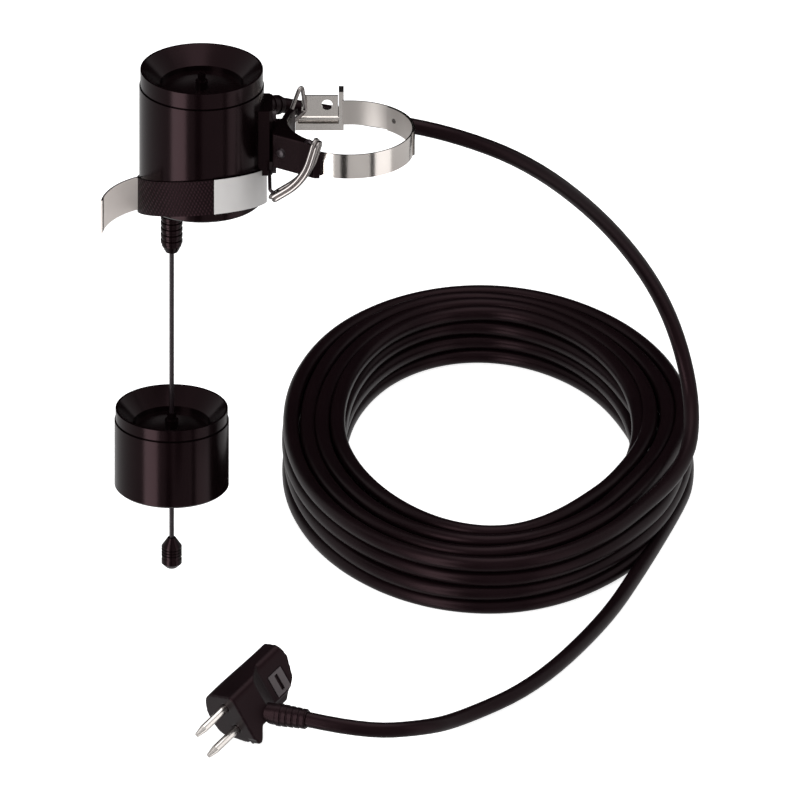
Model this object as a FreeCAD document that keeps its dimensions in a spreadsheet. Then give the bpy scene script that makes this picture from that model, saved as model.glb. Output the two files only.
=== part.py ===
"""Cable float switch: a round housing on a pipe clamp, a float on a hanging rod, and a coiled lead.

Millimetres, +Z up. The origin is the middle of the pipe that the clamp grips, halfway up its band, and the
front of the switch looks along -Y. The housing stands at -X of the pipe, and the lead lies on a floor below.
"""
import FreeCAD, Part
import Sketcher
import math
import os
import re

from FreeCAD import Placement, Rotation, Vector

SIZES = {
    # the pipe clamp
    "pipe_radius": 30.0,
    "band_thickness": 0.7,
    "band_width": 12.5,
    "band_start": -119.0,
    "band_end": 53.0,
    "strip_start": -8.0,
    "strip_end": 96.0,
    "strip_gap": 0.05,
    "band_rivet_angle": 45.0,
    "rivet_radius": 1.3,
    "rivet_head": 0.5,
    # the block between pipe and housing
    "block_reach": 37.0,
    "block_top": 11.0,
    "block_bottom": 6.5,
    "block_front_left": 17.3,
    "block_front_right": 25.8,
    "block_front_x": 23.8,
    "block_nose_x": 17.0,
    "block_nose_y": 30.5,
    "arm_start": 150.0,
    "arm_sweep": 36.0,
    "arm_thickness": 3.0,
    "arm_top": 9.0,
    "block_rivet_x": 33.0,
    "block_rivet_radius": 2.6,
    "block_rivet_head": 1.2,
    "end_plate_thickness": 2.6,
    "end_plate_depth": 4.5,
    "end_plate_rise": 2.0,
    "plate_thickness": 4.0,
    "plate_front": 13.0,
    "plate_back": 8.0,
    "plate_top": 21.0,
    "plate_bottom": 13.0,
    "plate_chamfer": 1.5,
    "plate_screw_height": 22.5,
    "plate_screw_radius": 1.5,
    "screw_head_radius": 2.8,
    "screw_head": 1.8,
    "fit_gap": 0.1,
    # the switch housing
    "housing_radius": 30.0,
    "housing_height": 68.0,
    "housing_top": 37.6,
    "wall": 3.0,
    "base_thickness": 3.5,
    "edge_chamfer": 1.0,
    "ring_height": 7.8,
    "ring_step": 0.5,
    "seam_height": 0.8,
    "seam_depth": 1.3,
    "rim_lip": 1.0,
    "funnel_depth": 7.7,
    "funnel_floor_radius": 20.2,
    "funnel_step": 2.4,
    "cap_floor": 2.6,
    "spigot_length": 8.4,
    "spigot_gap": 0.2,
    "spigot_wall": 2.8,
    "seal_section": 0.85,
    "seal_groove_width": 2.4,
    "seal_groove_depth": 1.6,
    "hub_radius": 3.0,
    "hub_height": 4.1,
    "nipple_radius": 1.9,
    "nipple_drop": 2.2,
    "nipple_hole_radius": 0.8,
    # the rod and what guides it
    "rod_offset": 14.4,
    "rod_radius": 1.15,
    "rod_tip": 1.2,
    "slide_gap": 0.3,
    "gland_radius": 5.3,
    "gland_length": 25.1,
    "gland_tip_radius": 3.0,
    "gland_tip_length": 3.5,
    "gland_flange_radius": 8.0,
    "gland_flange": 2.5,
    "gland_seal_radius": 3.4,
    "gland_seal_height": 2.5,
    "collar_radius": 4.5,
    "collar_height": 4.0,
    "rod_travel": 6.0,
    "stop_gap": 0.3,
    "nub_radius": 4.9,
    "nub_height": 15.6,
    "nub_chamfer": 2.2,
    "nub_top": 210.4,
    "nub_pitch": 1.5,
    "nub_thread": 6.0,
    "thread_depth": 0.5,
    # the float
    "float_radius": 27.5,
    "float_height": 40.9,
    "float_top": 141.9,
    "float_wall": 2.2,
    "float_ring_height": 5.3,
    "float_floor_radius": 18.6,
    "float_tube_wall": 1.6,
    "grommet_radius": 5.0,
    "grommet_height": 10.0,
    # the microswitch inside
    "switch_length": 27.8,
    "switch_depth": 10.3,
    "switch_height": 15.9,
    "switch_base": 1.5,
    "switch_right": 12.0,
    "switch_fillet": 0.8,
    "plunger_radius": 1.2,
    "plunger_height": 0.9,
    "plunger_inset": 9.0,
    "lever_length": 31.0,
    "lever_width": 4.5,
    "lever_thickness": 0.5,
    "lever_drop": 1.6,
    "lever_pin_radius": 0.6,
    "lever_knuckle_wall": 0.5,
    "lever_run_gap": 0.05,
    "ear_width": 3.0,
    "ear_thickness": 1.2,
    "carrier_thickness": 2.4,
    "carrier_margin": 3.0,
    "switch_screw_radius": 1.25,
    "switch_screw_inset": 2.9,
    "terminal_width": 3.2,
    "terminal_thickness": 0.6,
    "terminal_length": 3.2,
    "terminal_pitch": 8.5,
    # the wrap strap and its label
    "strap_thickness": 0.8,
    "strap_width": 17.3,
    "strap_drop": 4.6,
    "strap_tilt": 17.5,
    "strap_gap": 0.1,
    "tail_start": 3.0,
    "tail_middle": 14.5,
    "tail_middle_out": 11.7,
    "tail_end": 30.5,
    "tail_out": 17.5,
    "tail_low": 4.9,
    "label_start": -79.0,
    "label_sweep": 72.0,
    "label_thickness": 0.4,
    "label_lift": 0.3,
    # the clasp on the band's end
    "clasp_left": 24.8,
    "clasp_right": 5.2,
    "cheek_thickness": 2.4,
    "cheek_depth": 7.0,
    "cheek_top": 10.6,
    "cheek_bottom": 9.7,
    "left_cheek_thickness": 1.2,
    "left_cheek_top": 1.5,
    "channel_wall": 1.0,
    "channel_lip": 3.6,
    "channel_back": 2.6,
    "clasp_pin_radius": 0.9,
    "clasp_pin_y": 34.0,
    "clasp_pin_drop": 4.5,
    "knuckle_radius": 1.55,
    "lever_plate": 1.0,
    "lever_reach": 12.2,
    "lever_plate_left": 23.0,
    "lever_hole_radius": 2.7,
    "lever_hole_x": 10.8,
    "lever_hole_up": 7.4,
    "lever_collar": 1.1,
    "lever_gap": 0.3,
    # the two wire links
    "link_wire_radius": 1.0,
    "ring_wire_radius": 1.1,
    "link_apex_up": 18.5,
    "link_apex_right": 3.1,
    "link_foot_drop": 1.5,
    "link_corner": 2.0,
    "ring_length": 40.0,
    "ring_width": 6.4,
    "ring_bow": 6.6,
    "ring_bow_radius": 34.0,
    "ring_pitch": 2.1,
    "ring_peg_radius": 0.9,
    # where the lead leaves the housing
    "exit_angle": 48.0,
    "exit_tilt": 17.0,
    "exit_height": 6.9,
    "relief_length": 26.0,
    "relief_root": 4.9,
    "relief_end": 4.3,
    "relief_flange_radius": 5.8,
    "relief_flange": 2.5,
    "rib_height": 0.45,
    "rib_width": 1.8,
    "relief_sink": 1.0,
    # the lead
    "cord_radius": 3.75,
    "floor_drop": 236.0,
    "coil_half_width": 99.0,
    "coil_half_length": 157.5,
    "coil_bundle": 32.0,
    "coil_height": 30.0,
    "coil_x": 67.0,
    "coil_y": 124.0,
    "coil_fillet": 9.0,
    # the plug
    "plug_length": 42.0,
    "plug_height": 26.5,
    "plug_width": 19.5,
    "plug_step": 6.0,
    "plug_lobe": 15.0,
    "plug_foot": 3.4,
    "plug_foot_width": 6.6,
    "plug_fillet": 3.6,
    "plug_cord_inset": 16.0,
    "plug_cord_height": 4.6,
    "plug_relief_length": 17.5,
    "plug_relief_root": 5.2,
    "plug_relief_end": 4.4,
    "pin_length": 21.0,
    "pin_radius": 2.0,
    "pin_tip_radius": 1.1,
    "pin_taper": 5.0,
    "pin_pitch": 12.7,
    "pin_seat": 4.0,
    "socket_inset": 1.0,
    "socket_back": 26.5,
    "socket_low": 5.5,
    "socket_length": 9.0,
    "socket_height": 12.0,
    "socket_slot_length": 9.0,
    "socket_slot_width": 2.0,
}

doc = FreeCAD.newDocument("cable_float_switch")
sheet = doc.addObject("Spreadsheet::Sheet", "Sizes")
for row, (alias, number) in enumerate(SIZES.items(), start=1):
    sheet.set(f"A{row}", alias)
    sheet.set(f"B{row}", str(number))
    sheet.setAlias(f"B{row}", alias)
doc.recompute()


def size(alias):
    """A driving size as the sheet holds it."""
    return float(sheet.get(alias))


def formula(words):
    """A formula in the sheet's aliases, as an expression."""
    return re.sub(r"[a-z_]{3,}", lambda found: "Sizes." + found[0] if found[0] in SIZES else found[0],
                  str(words))


def bind(thing, **formulas):
    """Binds properties to formulas. A double underscore stands for the dot of a sub-property."""
    for path, words in formulas.items():
        thing.setExpression(path.replace("__", "."), formula(words))
    return thing


def place(thing, x=0, y=0, z=0):
    """Binds where a sub-part's own origin lies. A 0 stays free for a placement that is set as a whole."""
    wanted = {"Placement__Base__x": x, "Placement__Base__y": y, "Placement__Base__z": z}
    return bind(thing, **{path: words for path, words in wanted.items() if words != 0})


def turn_about(thing, axis, degrees):
    """Turns a sub-part about an axis through its own origin, by a formula."""
    thing.Placement.Rotation = Rotation(axis, 1)
    return bind(thing, Placement__Rotation__Angle=degrees)


def outline(body, plane, points, lift=0):
    """A closed polygon on one of a body's origin planes. Each corner's two places are formulas."""
    sketch = body.newObject("Sketcher::SketchObject", body.Name + "_outline")
    sketch.AttachmentSupport = [next(f for f in body.Origin.OriginFeatures if f.Role == plane), ""]
    sketch.MapMode = "FlatFace"
    bind(sketch, AttachmentOffset__Base__z=lift)
    count = len(points)
    rough = [Vector(20 * math.cos(2 * math.pi * i / count), 20 * math.sin(2 * math.pi * i / count), 0)
             for i in range(count)]
    for i in range(count):
        sketch.addGeometry(Part.LineSegment(rough[i], rough[(i + 1) % count]), False)
    for i in range(count):
        sketch.addConstraint(Sketcher.Constraint("Coincident", i, 2, (i + 1) % count, 1))
    for i, (across, up) in enumerate(points):
        for kind, start, words in (("DistanceX", rough[i].x, across), ("DistanceY", rough[i].y, up)):
            number = sketch.addConstraint(Sketcher.Constraint(kind, -1, 1, i, 1, start))
            sketch.setExpression(f"Constraints[{number}]", formula(words))
    return sketch


def turned(label, points):
    """A body turned about its own Z axis. Points are radius and height."""
    body = doc.addObject("PartDesign::Body", label)
    sketch = outline(body, "XZ_Plane", points)
    solid = body.newObject("PartDesign::Revolution", label + "_turned")
    solid.Profile = sketch
    solid.ReferenceAxis = (sketch, ["V_Axis"])
    solid.Angle = 360
    body.Tip = solid
    return body


def padded(label, plane, points, length, lift=0):
    """A body made by padding a polygon from one of its origin planes, along that plane's normal."""
    body = doc.addObject("PartDesign::Body", label)
    sketch = outline(body, plane, points, lift)
    pad = body.newObject("PartDesign::Pad", label + "_pad")
    pad.Profile = sketch
    bind(pad, Length=length)
    body.Tip = pad
    return body


def rounded(body, radius, keep=lambda edge: True):
    """Rounds the edges of a body's tip that keep() chooses."""
    doc.recompute()
    tip = body.Tip
    names = [f"Edge{i}" for i, edge in enumerate(tip.Shape.Edges, start=1) if keep(edge)]
    fillet = body.newObject("PartDesign::Fillet", body.Name + "_rounded")
    fillet.Base = (tip, names)
    bind(fillet, Radius=radius)
    body.Tip = fillet
    return body


def box(label, length, width, height, x=0, y=0, z=0):
    thing = doc.addObject("Part::Box", label)
    bind(thing, Length=length, Width=width, Height=height)
    return place(thing, x, y, z)


def cylinder(label, radius, height, x=0, y=0, z=0):
    thing = doc.addObject("Part::Cylinder", label)
    bind(thing, Radius=radius, Height=height)
    return place(thing, x, y, z)


def cut(label, base, tool):
    thing = doc.addObject("Part::Cut", label)
    thing.Base = base
    thing.Tool = tool
    return thing


def fused(label, *things):
    thing = doc.addObject("Part::MultiFuse", label)
    thing.Shapes = list(things)
    return thing


def group(label, *things):
    """Several separate solids of one kind, as one sub-part."""
    thing = doc.addObject("Part::Compound", label)
    thing.Links = list(things)
    return thing


def feature(label, shape):
    """A sub-part whose shape is made in code."""
    thing = doc.addObject("Part::Feature", label)
    thing.Shape = shape
    return thing


def arc_strip(label, inner, thickness, height, start, sweep, x=0, y=0, z=0):
    """Part of a ring about Z: a strip bent round, from an angle on and over a sweep."""
    outer = cylinder(label + "_outer", f"({inner}) + ({thickness})", height, x, y, z)
    bind(outer, Angle=sweep)
    turn_about(outer, Vector(0, 0, 1), start)
    hollow = cylinder(label + "_hollow", inner, f"({height}) + 2", x, y, f"({z}) - 1")
    return cut(label, outer, hollow)


HOUSING_X = "-(block_reach + plate_thickness + housing_radius)"
ROD_X = f"({HOUSING_X} - rod_offset)"
HOUSING_BASE = "(housing_top - housing_height)"
BAND_OUTER = "(pipe_radius + band_thickness)"
STRIP_INNER = "(pipe_radius + band_thickness + strip_gap)"
housing_x = -(size("block_reach") + size("plate_thickness") + size("housing_radius"))


def make_housing():
    """The open shell of the switch housing, with the gland's hole in its base."""
    top = "-(ring_height + seam_height)"
    shell = turned("housing_shell", [
        ("0", "-housing_height"),
        ("housing_radius - edge_chamfer", "-housing_height"),
        ("housing_radius", "edge_chamfer - housing_height"),
        ("housing_radius", top),
        ("housing_radius - wall", top),
        ("housing_radius - wall", "base_thickness - housing_height"),
        ("0", "base_thickness - housing_height"),
    ])
    place(shell, x=HOUSING_X, z="housing_top")
    hole = cylinder("gland_hole", "gland_radius + fit_gap", "base_thickness + 2", x=ROD_X,
                    z=f"{HOUSING_BASE} - 1")
    drilled = cut("housing_drilled", shell, hole)
    lead_hole = cylinder("lead_hole", "cord_radius + fit_gap", "wall * 4", x=HOUSING_X, z="exit_height")
    lead_hole.Placement.Rotation = exit_rotation()
    bind(lead_hole, Placement__Base__x=f"{HOUSING_X} + (housing_radius - wall * 2) * cos(exit_angle)",
         Placement__Base__y="(housing_radius - wall * 2) * sin(exit_angle)",
         Placement__Base__z="exit_height + wall * 2 * tan(exit_tilt)")
    return cut("housing_body", drilled, lead_hole)


def cap_points(radius, lip_radius, ring, floor_radius, bore):
    """The half section of a cap: a funnel with a stepped hub, and a spigot under it."""
    shell_inner = f"({radius}) - wall"
    spigot = f"({shell_inner} - spigot_gap)"
    under = "-(funnel_depth + funnel_step + cap_floor)"
    return [
        (bore, under if bore != "0" else "-(funnel_depth + funnel_step)"),
        (bore, "-nipple_drop"),
        ("nipple_radius", "-nipple_drop"),
        ("nipple_radius", "hub_height - funnel_depth - funnel_step"),
        ("hub_radius", "hub_height - funnel_depth - funnel_step"),
        ("hub_radius", "-(funnel_depth + funnel_step)"),
        (floor_radius, "-(funnel_depth + funnel_step)"),
        (floor_radius, "-funnel_depth"),
        (f"({lip_radius}) - rim_lip", "0"),
        (lip_radius, "0"),
        (lip_radius, f"-({ring})"),
        (f"({radius}) - seam_depth", f"-({ring})"),
        (f"({radius}) - seam_depth", f"-({ring}) - seam_height"),
        (spigot, f"-({ring}) - seam_height"),
    ]


def make_housing_cap():
    """The lid: an outer ring, a funnel with its blind hub, and a spigot with a seal groove."""
    floor = "-(funnel_depth + funnel_step + cap_floor)"
    spigot = "(housing_radius - wall - spigot_gap)"
    groove = f"({spigot} - seal_groove_depth)"
    seat = "-(ring_height + seam_height)"
    points = cap_points("housing_radius", "housing_radius - ring_step", "ring_height",
                        "funnel_floor_radius",
                        "nipple_hole_radius")
    points[0] = ("nipple_hole_radius", "-(funnel_depth + funnel_step)")
    points += [
        (spigot, f"{seat} - (spigot_length - seal_groove_width) / 2"),
        (groove, f"{seat} - (spigot_length - seal_groove_width) / 2"),
        (groove, f"{seat} - (spigot_length + seal_groove_width) / 2"),
        (spigot, f"{seat} - (spigot_length + seal_groove_width) / 2"),
        (spigot, f"{seat} - spigot_length"),
        (f"{spigot} - spigot_wall", f"{seat} - spigot_length"),
        (f"{spigot} - spigot_wall", floor),
        ("0", floor),
        ("0", "-(funnel_depth + funnel_step)"),
    ]
    return place(turned("housing_cap", points), x=HOUSING_X, z="housing_top")


def make_cap_seal():
    """The ring seal in the spigot's groove."""
    seal = doc.addObject("Part::Torus", "cap_seal")
    bind(seal, Radius1="housing_radius - wall - spigot_gap - seal_groove_depth + seal_section",
         Radius2="seal_section")
    return place(seal, x=HOUSING_X, z="housing_top - ring_height - seam_height - spigot_length / 2")


def thread(count, crest, root, top, pitch):
    """The outline of count thread ribs, going down from a height."""
    points = []
    for i in range(count):
        points += [
            (crest, f"{top} - {pitch} * {i}"),
            (crest, f"{top} - {pitch} * {i + 0.45}"),
            (root, f"{top} - {pitch} * {i + 0.6}"),
            (root, f"{top} - {pitch} * {i + 0.85}"),
        ]
    return points


def make_gland():
    """The long threaded gland that guides the rod, held by a flange inside the housing's base."""
    return place(turned("rod_gland", [
        ("rod_radius + slide_gap", "-gland_length - gland_tip_length"),
        ("gland_tip_radius", "-gland_length - gland_tip_length"),
        ("gland_radius - thread_depth", "-gland_length"),
        *reversed(thread(8, "gland_radius", "gland_radius - thread_depth", "-0.2", "gland_length / 8")),
        ("gland_radius", "base_thickness"),
        ("gland_flange_radius", "base_thickness"),
        ("gland_flange_radius", "base_thickness + gland_flange"),
        ("gland_seal_radius", "base_thickness + gland_flange"),
        ("gland_seal_radius", "base_thickness + gland_flange - gland_seal_height"),
        ("rod_radius + slide_gap", "base_thickness + gland_flange - gland_seal_height"),
    ]), x=ROD_X, z=HOUSING_BASE)


def make_gland_seal():
    """The wiper seal in the top of the gland."""
    return place(turned("gland_seal", [
        ("rod_radius + slide_gap", "0"),
        ("gland_seal_radius - fit_gap", "0"),
        ("gland_seal_radius - fit_gap", "gland_seal_height"),
        ("rod_radius + slide_gap", "gland_seal_height"),
    ]), x=ROD_X, z=f"{HOUSING_BASE} + base_thickness + gland_flange - gland_seal_height")


ROD_TOP = "(switch_base - lever_drop - lever_thickness - slide_gap * 2.6 - rod_travel)"
COLLAR_BASE = f"({HOUSING_BASE} + base_thickness + gland_flange + stop_gap)"


def make_rod():
    """The thin rod from the microswitch's lever down to the end stop."""
    low = "-(nub_top + nub_height)"
    return place(turned("float_rod", [
        ("0", f"{low} + nub_chamfer"),
        ("rod_radius", f"{low} + nub_chamfer"),
        ("rod_radius", f"{ROD_TOP} - rod_tip"),
        ("rod_radius - 0.4", ROD_TOP),
        ("0", ROD_TOP),
    ]), x=ROD_X)


def make_rod_collar():
    """The collar that keeps the rod from falling through the gland."""
    return place(turned("rod_collar", [
        ("rod_radius", "0"),
        ("collar_radius", "0"),
        ("collar_radius", "collar_height - 1"),
        ("collar_radius - 1", "collar_height"),
        ("rod_radius", "collar_height"),
    ]), x=ROD_X, z=COLLAR_BASE)


def make_end_stop():
    """The threaded nub on the rod's end."""
    return place(turned("rod_end_stop", [
        ("0", "-nub_height"),
        ("nub_radius - nub_chamfer", "-nub_height"),
        ("nub_radius", "nub_chamfer - nub_height"),
        ("nub_radius", "-nub_chamfer * 2 - nub_thread - nub_pitch * 0.4"),
        *reversed(thread(4, "nub_radius", "nub_radius - thread_depth", "-nub_chamfer * 2", "nub_pitch")),
        ("rod_radius + 0.8", "0"),
        ("rod_radius", "0"),
        ("rod_radius", "nub_chamfer - nub_height"),
        ("0", "nub_chamfer - nub_height"),
    ]), x=ROD_X, z="-nub_top")


def make_float_shell():
    """The float's hollow cup, with the tube that the rod runs through."""
    bore = "(rod_radius + slide_gap)"
    tube = f"({bore} + float_tube_wall)"
    top = "-(float_ring_height + seam_height)"
    return place(turned("float_shell", [
        (bore, "-float_height"),
        ("float_radius - edge_chamfer", "-float_height"),
        ("float_radius", "edge_chamfer - float_height"),
        ("float_radius", top),
        ("float_radius - float_wall", top),
        ("float_radius - float_wall", "float_wall - float_height"),
        (tube, "float_wall - float_height"),
        (tube, "-(funnel_depth + funnel_step + cap_floor)"),
        (bore, "-(funnel_depth + funnel_step + cap_floor)"),
    ]), x=ROD_X, z="-float_top")


def make_float_cap():
    """The float's lid: the same funnel, with a hub that the rod runs through."""
    bore = "(rod_radius + slide_gap)"
    floor = "-(funnel_depth + funnel_step + cap_floor)"
    spigot = "(float_radius - float_wall - spigot_gap)"
    return place(turned("float_cap", [
        (bore, floor),
        (bore, "-nipple_drop"),
        ("nipple_radius + 0.3", "-nipple_drop"),
        ("nipple_radius + 0.3", "hub_height - funnel_depth - funnel_step"),
        ("hub_radius + 0.3", "hub_height - funnel_depth - funnel_step"),
        ("hub_radius + 0.3", "-(funnel_depth + funnel_step)"),
        ("float_floor_radius", "-(funnel_depth + funnel_step)"),
        ("float_floor_radius", "-funnel_depth"),
        ("float_radius - ring_step - rim_lip", "0"),
        ("float_radius - ring_step", "0"),
        ("float_radius - ring_step", "-float_ring_height"),
        ("float_radius - seam_depth", "-float_ring_height"),
        ("float_radius - seam_depth", "-float_ring_height - seam_height"),
        (spigot, "-float_ring_height - seam_height"),
        (spigot, floor),
    ]), x=ROD_X, z="-float_top")


def make_float_stop():
    """The rubber grommet that grips the rod and carries the float."""
    return place(turned("float_stop", [
        ("rod_radius", "-grommet_height"),
        ("grommet_radius - 1.5", "-grommet_height"),
        ("grommet_radius", "-grommet_height / 2"),
        ("grommet_radius", "0"),
        ("rod_radius", "0"),
    ]), x=ROD_X, z="-(float_top + float_height + stop_gap)")


SWITCH_LEFT = f"({HOUSING_X} + switch_right - switch_length)"
PIVOT_X = f"({HOUSING_X} + switch_right - ear_width / 2)"
PIVOT_Z = "(switch_base - lever_drop)"


def make_microswitch():
    """The snap-action switch: a moulded block with its plunger underneath."""
    block = padded("switch_case", "XZ_Plane", [
        (SWITCH_LEFT, "switch_base"),
        (f"{SWITCH_LEFT} + switch_length", "switch_base"),
        (f"{SWITCH_LEFT} + switch_length", "switch_base + switch_height"),
        (SWITCH_LEFT, "switch_base + switch_height"),
    ], "switch_depth", lift="-switch_depth / 2")
    rounded(block, "switch_fillet", lambda edge: edge.Length > 9 and abs(edge.tangentAt(0).y) > 0.9)
    plunger = cylinder("switch_plunger", "plunger_radius", "plunger_height + 1",
                       x=f"{SWITCH_LEFT} + switch_length - plunger_inset", z="switch_base - plunger_height")
    pin = cylinder("lever_pin", "lever_pin_radius", "switch_depth", x=PIVOT_X, y="switch_depth / 2",
                   z=PIVOT_Z)
    pin.Placement.Rotation = Rotation(Vector(1, 0, 0), 90)
    ears = [box(f"lever_ear_{side}", "ear_width", "ear_thickness", "lever_drop + lever_pin_radius + 1.5",
                x=f"{PIVOT_X} - ear_width / 2", y=across, z=f"{PIVOT_Z} - lever_pin_radius - 0.5")
            for side, across in (("front", "-switch_depth / 2"),
                                 ("back", "switch_depth / 2 - ear_thickness"))]
    return fused("microswitch", block, plunger, pin, *ears)


def make_switch_lever():
    """The leaf lever that the rod lifts. It hangs below the switch and turns on the pin at its right end."""
    leaf = box("lever_leaf", "lever_length", "lever_width", "lever_thickness")
    lever_angle = math.degrees(math.asin(size("rod_travel") / lever_arm()))
    leaf.Placement = (Placement(lever_pivot(), Rotation(Vector(0, 1, 0), 180 - lever_angle))
                      * Placement(Vector(0, -size("lever_width") / 2, 0), Rotation()))
    knuckle = cylinder("lever_roll", "lever_pin_radius + lever_run_gap + lever_knuckle_wall", "lever_width",
                       x=PIVOT_X, y="lever_width / 2", z=PIVOT_Z)
    knuckle.Placement.Rotation = Rotation(Vector(1, 0, 0), 90)
    way = cylinder("lever_way", "lever_pin_radius + lever_run_gap", "lever_width + 2", x=PIVOT_X,
                   y="lever_width / 2 + 1", z=PIVOT_Z)
    way.Placement.Rotation = Rotation(Vector(1, 0, 0), 90)
    return cut("switch_lever", fused("lever_solid", leaf, knuckle), way)


def lever_pivot():
    """The axis of the lever, at the switch's lower right corner."""
    return Vector(housing_x + size("switch_right") - size("ear_width") / 2, 0,
                  size("switch_base") - size("lever_drop"))


def lever_arm():
    """From the lever's axis to the rod."""
    return size("switch_right") - size("ear_width") / 2 + size("rod_offset")


def make_carrier():
    """The moulded plate that hangs from the lid and carries the microswitch."""
    under_lid = "(housing_top - funnel_depth - funnel_step - cap_floor)"
    stem = "(housing_radius - wall - spigot_gap - spigot_wall)"
    plate = box("carrier_plate", "switch_length + carrier_margin * 2", "carrier_thickness",
                "switch_height + carrier_margin + 1", x=f"{SWITCH_LEFT} - carrier_margin",
                y="switch_depth / 2", z="switch_base - carrier_margin")
    neck = box("carrier_stem", stem, "carrier_thickness", f"{under_lid} - switch_base",
               x=f"{HOUSING_X} - {stem} / 2", y="switch_depth / 2", z="switch_base")
    foot = box("carrier_foot", stem, f"{stem} * 0.3", "carrier_thickness", x=f"{HOUSING_X} - {stem} / 2",
               y="switch_depth / 2", z=f"{under_lid} - carrier_thickness")
    return fused("switch_carrier", plate, neck, foot)


def make_switch_screws():
    """Two screws through the microswitch into its carrier."""
    screws = []
    for side, across in (("left", "switch_screw_inset"), ("right", "switch_length - switch_screw_inset")):
        head = cylinder(f"switch_screw_{side}", "switch_screw_radius * 1.8", "1.2",
                        x=f"{SWITCH_LEFT} + {across}", y="-switch_depth / 2",
                        z="switch_base + switch_height - 3")
        head.Placement.Rotation = Rotation(Vector(1, 0, 0), 90)
        screws.append(head)
    return group("switch_screws", *screws)


def make_terminals():
    """Three blades on the microswitch's top."""
    blades = [
        box(f"terminal_{name}", "terminal_width", "terminal_thickness", "terminal_length",
            x=f"{SWITCH_LEFT} + switch_length / 2 + terminal_pitch * {step} - terminal_width / 2",
            z="switch_base + switch_height")
        for step, name in ((-1, "left"), (0, "middle"), (1, "right"))
    ]
    return group("switch_terminals", *blades)


def slanted(label, ring, spare="0"):
    """The part of a tall ring that lies in the slanting layer of the strap."""
    slab = cylinder(label + "_layer", "housing_radius * 2", f"strap_width + ({spare}) * 2", x=HOUSING_X,
                    z=f"{HOUSING_BASE} - strap_drop - ({spare})")
    turn_about(slab, Vector(-0.96, -0.28, 0), "strap_tilt")
    thing = doc.addObject("Part::Common", label)
    thing.Base = ring
    thing.Tool = slab
    return thing


def tall_ring(label, inner, thickness, start, sweep):
    """A ring or part of one round the housing, taller than the strap's slant needs."""
    return arc_strip(label, inner, thickness, "strap_width * 4", start, sweep, x=HOUSING_X,
                     z=f"{HOUSING_BASE} - strap_width * 1.5")


def make_strap():
    """The wrap that sits askew round the housing's foot, and its free tail that curls away at the left."""
    ring = slanted("strap_ring", tall_ring("strap_hoop", "(housing_radius + strap_gap)",
                                           "strap_thickness", "0", "360"))
    reach = size("housing_radius") + size("strap_gap") + size("strap_thickness") / 2
    way = [
        Vector(housing_x - math.sqrt(reach ** 2 - size("tail_start") ** 2), -size("tail_start"), 0),
        Vector(housing_x - reach - size("tail_middle_out"), -size("tail_middle"), 0),
        Vector(housing_x - reach - size("tail_out"), -size("tail_end"), 0),
    ]
    path = Part.Wire(Part.Arc(*way).toShape())
    heading = path.Edges[0].tangentAt(path.Edges[0].FirstParameter)
    half = Vector(-heading.y, heading.x, 0) * (size("strap_thickness") / 2)
    low = size("housing_top") - size("housing_height") - size("tail_low")
    high = low + size("strap_width")
    corners = [way[0] + half * side + Vector(0, 0, up)
               for side, up in ((-1, low), (1, low), (1, high), (-1, high))]
    tail = feature("strap_tail", path.makePipeShell([Part.makePolygon(corners + corners[:1])], True, False))
    return fused("wrap_strap", ring, tail)


def make_label():
    """The blank label on the strap, standing a little off it."""
    inner = "(housing_radius + strap_gap + strap_thickness + label_lift)"
    return slanted("strap_label", tall_ring("label_hoop", inner, "label_thickness", "label_start",
                                            "label_sweep"))


def make_side_plate():
    """The mounting plate on the housing's side, hollowed to sit on its round wall."""
    reach = "(block_reach + plate_thickness)"
    plate = padded("side_plate_blank", "XY_Plane", [
        (f"-{reach} - 6", "-plate_front"),
        ("-block_reach - plate_chamfer", "-plate_front"),
        ("-block_reach", "plate_chamfer - plate_front"),
        ("-block_reach", "plate_back - plate_chamfer"),
        ("-block_reach - plate_chamfer", "plate_back"),
        (f"-{reach} - 6", "plate_back"),
    ], "plate_top + plate_bottom", lift="-plate_bottom")
    seat = cylinder("side_plate_seat", "housing_radius + fit_gap", "plate_top + plate_bottom + 2",
                    x=HOUSING_X, z="-plate_bottom - 1")
    seated = cut("side_plate_seated", plate, seat)
    hoop = tall_ring("strap_way_hoop", "housing_radius",
                     "strap_thickness + label_lift + label_thickness + slide_gap", "0", "360")
    clear = slanted("strap_way", hoop, "slide_gap")
    return cut("side_plate", seated, clear)


def make_plate_screws():
    """Two screws through the side plate into the housing."""
    heads = []
    for name, up in (("upper", "plate_top - 4"), ("lower", "-block_bottom - 4")):
        head = cylinder(f"plate_screw_{name}", "screw_head_radius", "screw_head", x="-block_reach", z=up,
                        y="-plate_front + 4")
        head.Placement.Rotation = Rotation(Vector(0, 1, 0), 90)
        heads.append(head)
    return group("plate_screws", *heads)


def make_block():
    """The saddle block between the plate and the pipe, with a back arm round the pipe."""
    wedge = padded("block_wedge", "XY_Plane", [
        ("-block_reach", "-block_front_left"),
        ("-block_front_x", "-block_front_right"),
        ("-block_nose_x", "-block_nose_y"),
        ("-block_nose_x", "-block_front_right + 6"),
        ("-block_reach + 12", "1"),
        ("-block_reach", "1"),
    ], "block_top + block_bottom", lift="-block_bottom")
    arm = arc_strip("block_arm", "pipe_radius", "arm_thickness", "arm_top + block_bottom", "arm_start",
                    "arm_sweep",
                    z="-block_bottom")
    whole = fused("block_whole", wedge, arm)
    pipe = cylinder("block_pipe_way", "pipe_radius", "block_top + block_bottom + 2", z="-block_bottom - 1")
    return cut("clamp_block", whole, pipe)


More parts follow.
